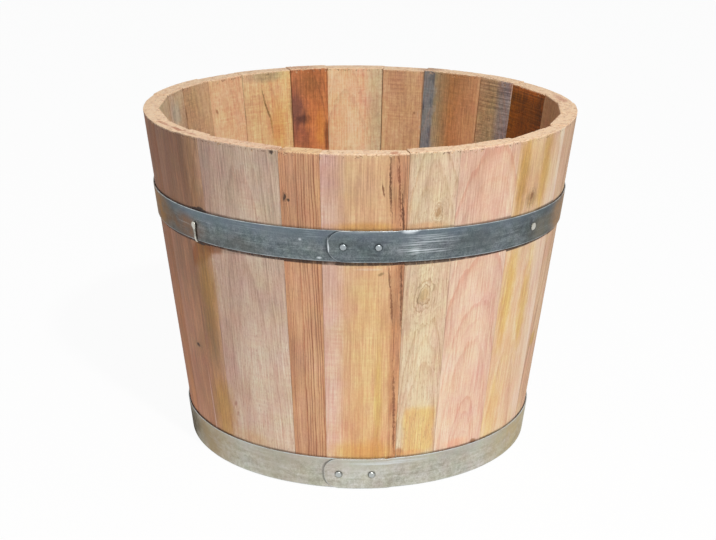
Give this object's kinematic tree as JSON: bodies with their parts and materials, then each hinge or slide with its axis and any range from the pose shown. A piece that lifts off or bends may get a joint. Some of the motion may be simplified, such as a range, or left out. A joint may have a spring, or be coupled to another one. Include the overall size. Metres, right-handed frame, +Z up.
{
  "type": "wooden barrel planter",
  "caption": "Round tapered planter tub coopered from upright wooden staves, with a grooved-in board head and riveted steel hoops.",
  "frame": {"origin": "centre of the foot, on the plane that the staves stand on", "axes": "+Z up along the tub's axis, -Y towards the front, where the hoops' laps are, +X to the right"},
  "size_m": [0.4997, 0.4996, 0.394],
  "materials": {
    "stave_wood": "sawn and unfinished",
    "head_wood": "sawn and unfinished",
    "dowel_wood": "turned",
    "upper_hoop_steel": "galvanised, smooth and scratched",
    "lower_hoop_steel": "galvanised, matt",
    "fixing_steel": "zinc plated"
  },
  "bodies": {
    "root": {"stave_01": "stave_wood", "stave_02": "stave_wood", "stave_03": "stave_wood", "stave_04": "stave_wood", "stave_05": "stave_wood", "stave_06": "stave_wood", "stave_07": "stave_wood", "stave_08": "stave_wood", "stave_09": "stave_wood", "stave_10": "stave_wood", "stave_11": "stave_wood", "stave_12": "stave_wood", "stave_13": "stave_wood", "stave_14": "stave_wood", "stave_15": "stave_wood", "stave_16": "stave_wood", "stave_17": "stave_wood", "stave_18": "stave_wood", "stave_19": "stave_wood", "stave_20": "stave_wood", "stave_21": "stave_wood", "stave_22": "stave_wood", "stave_23": "stave_wood", "head_board_1": "head_wood", "head_board_2": "head_wood", "head_board_3": "head_wood", "head_board_4": "head_wood", "head_board_5": "head_wood", "head_dowels": "dowel_wood", "upper_hoop": "upper_hoop_steel", "lower_hoop": "lower_hoop_steel", "upper_hoop_rivets": "fixing_steel", "lower_hoop_rivets": "fixing_steel", "upper_hoop_nails": "fixing_steel"}
  },
  "joints": []
}
